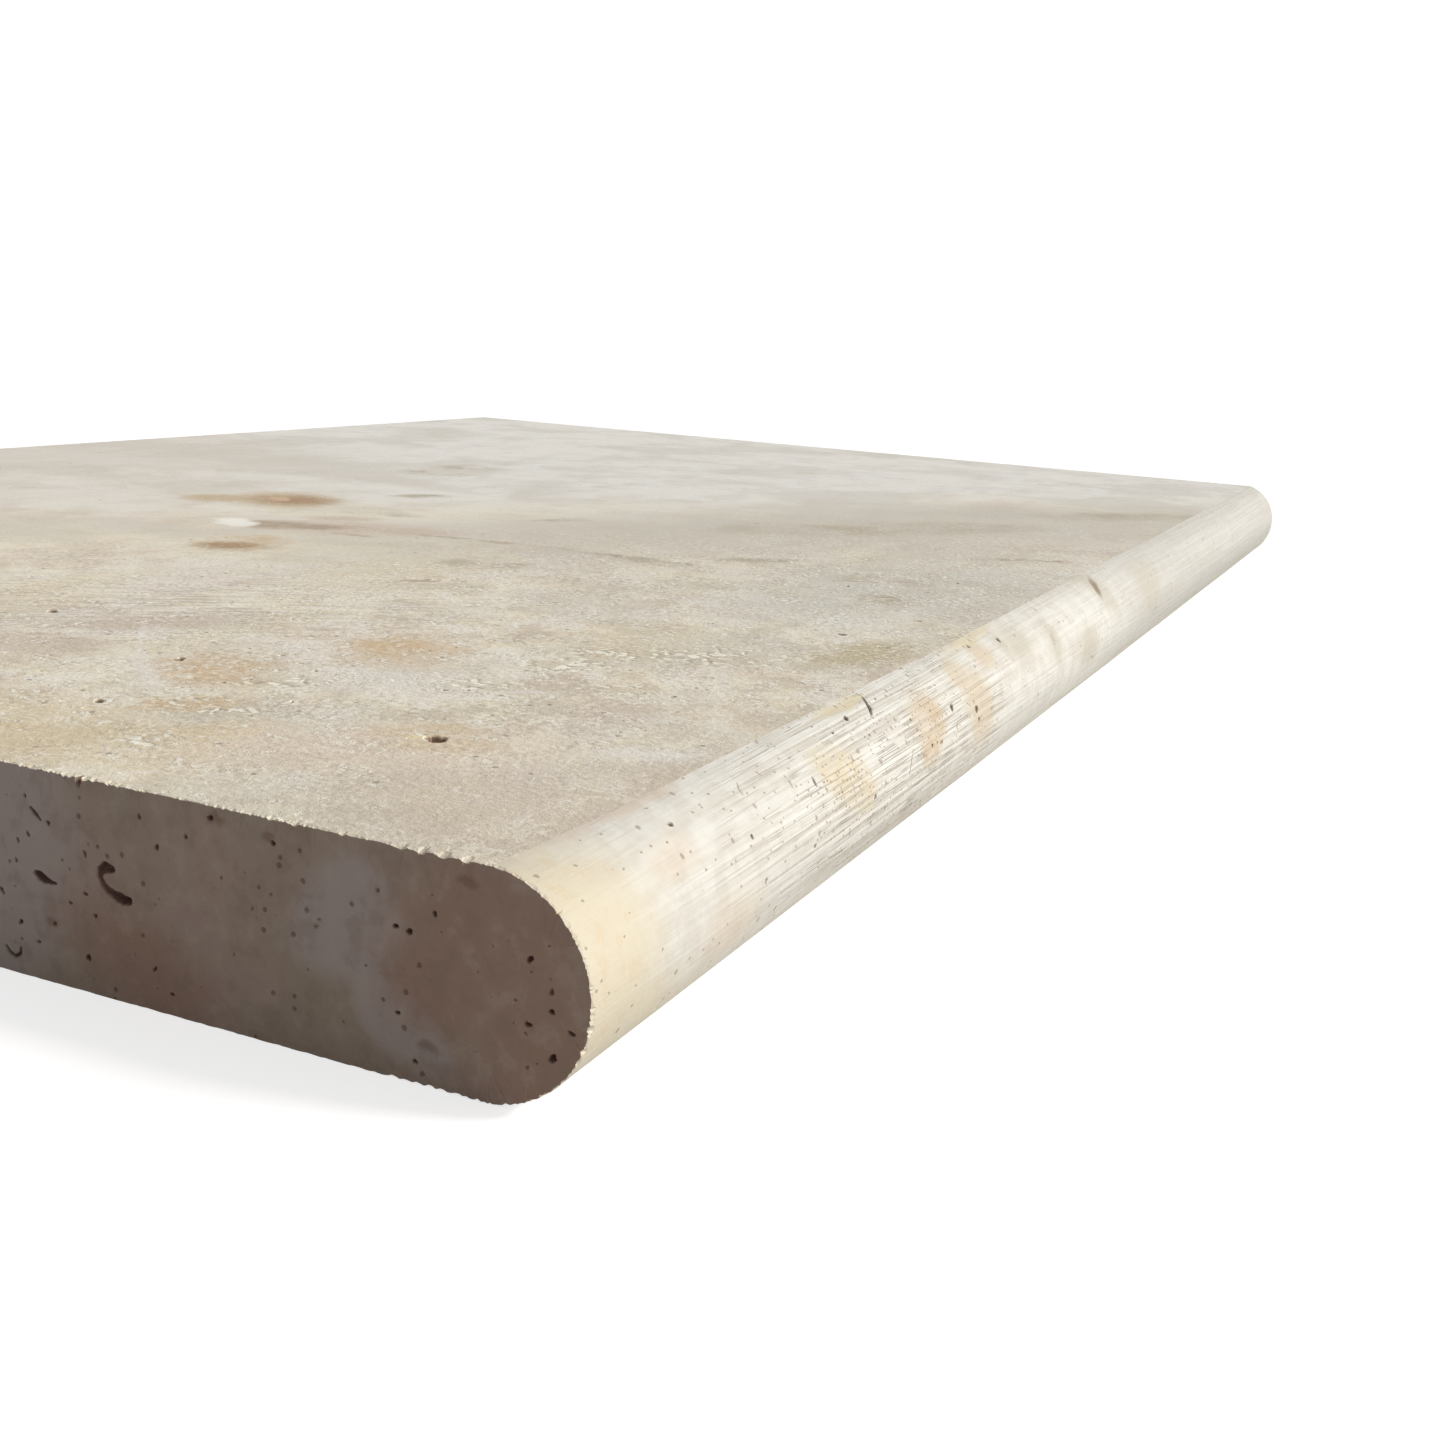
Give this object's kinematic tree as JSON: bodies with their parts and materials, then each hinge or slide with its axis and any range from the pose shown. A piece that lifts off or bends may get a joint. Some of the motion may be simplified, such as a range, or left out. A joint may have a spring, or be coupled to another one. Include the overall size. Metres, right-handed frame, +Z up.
{
  "type": "pool coping stone",
  "caption": "Rectangular slab of unfilled travertine with one long edge ground to a full round nose, laid along the rim of a swimming pool.",
  "frame": {"origin": "centre of the underside, on the bed that the stone is laid on", "axes": "+X along the stone, -Y towards the pool and the round nose, +Z up"},
  "size_m": [0.61, 0.406, 0.03],
  "materials": {
    "travertine": "honed top and round nose, sawn sides and underside, unfilled natural voids"
  },
  "bodies": {
    "root": {"coping_stone": "travertine"}
  },
  "joints": []
}
